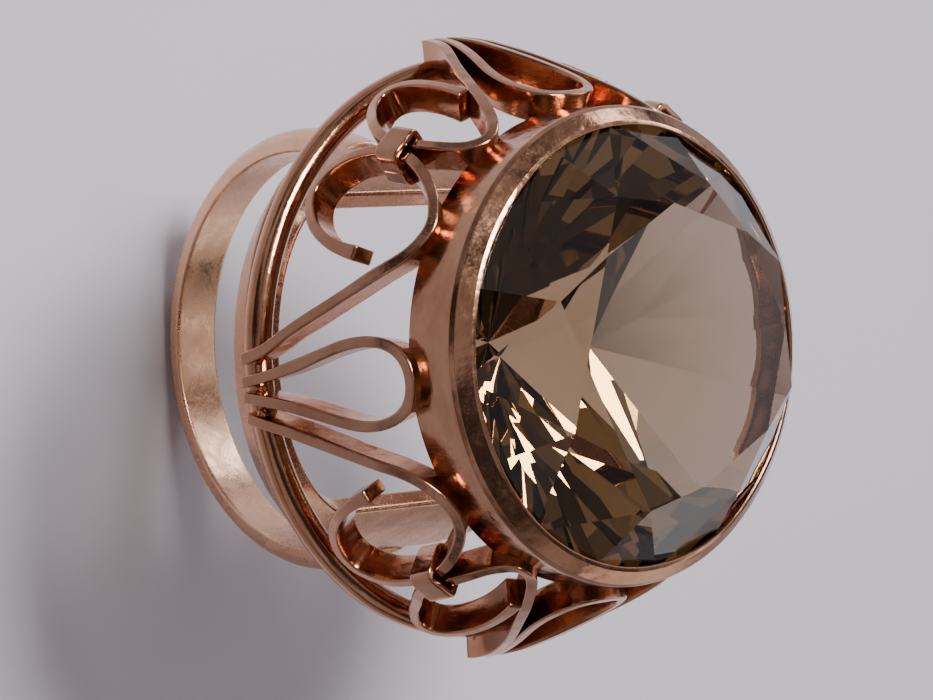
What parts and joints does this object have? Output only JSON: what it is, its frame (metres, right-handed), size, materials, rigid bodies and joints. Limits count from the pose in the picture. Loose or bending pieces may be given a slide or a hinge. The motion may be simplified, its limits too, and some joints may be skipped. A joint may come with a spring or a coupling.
{
  "type": "cocktail ring",
  "caption": "Cocktail ring with a large round faceted stone in a rub-over bezel, carried by an open basket of wire petals and scrolls above a saddle plate and a slim D-section shank.",
  "frame": {"origin": "centre of the finger hole, on its axis, in the middle of the shank's width", "axes": "+Y along the finger, +Z from the finger out through the middle of the stone, +X across the shank"},
  "size_m": [0.028, 0.0266, 0.0348],
  "materials": {
    "shank_gold": "polished rose gold with fine wear",
    "plate_gold": "rose gold, satin edge and polished faces",
    "bezel_gold": "polished rose gold, hand burnished rim",
    "wire_gold": "rose gold, satin thin edges and polished sides",
    "quartz": "faceted transparent smoky quartz"
  },
  "bodies": {
    "root": {"shank": "shank_gold", "finger_plate": "plate_gold", "base_ring": "wire_gold", "bezel_collet": "bezel_gold", "bezel_seat": "bezel_gold", "petal_front": "wire_gold", "petal_right": "wire_gold", "petal_back": "wire_gold", "petal_left": "wire_gold", "scroll_front_right_a": "wire_gold", "scroll_front_right_b": "wire_gold", "scroll_back_right_a": "wire_gold", "scroll_back_right_b": "wire_gold", "scroll_back_left_a": "wire_gold", "scroll_back_left_b": "wire_gold", "scroll_front_left_a": "wire_gold", "scroll_front_left_b": "wire_gold", "collar_front_right": "wire_gold", "collar_back_right": "wire_gold", "collar_back_left": "wire_gold", "collar_front_left": "wire_gold", "smoky_quartz": "quartz"}
  },
  "joints": []
}
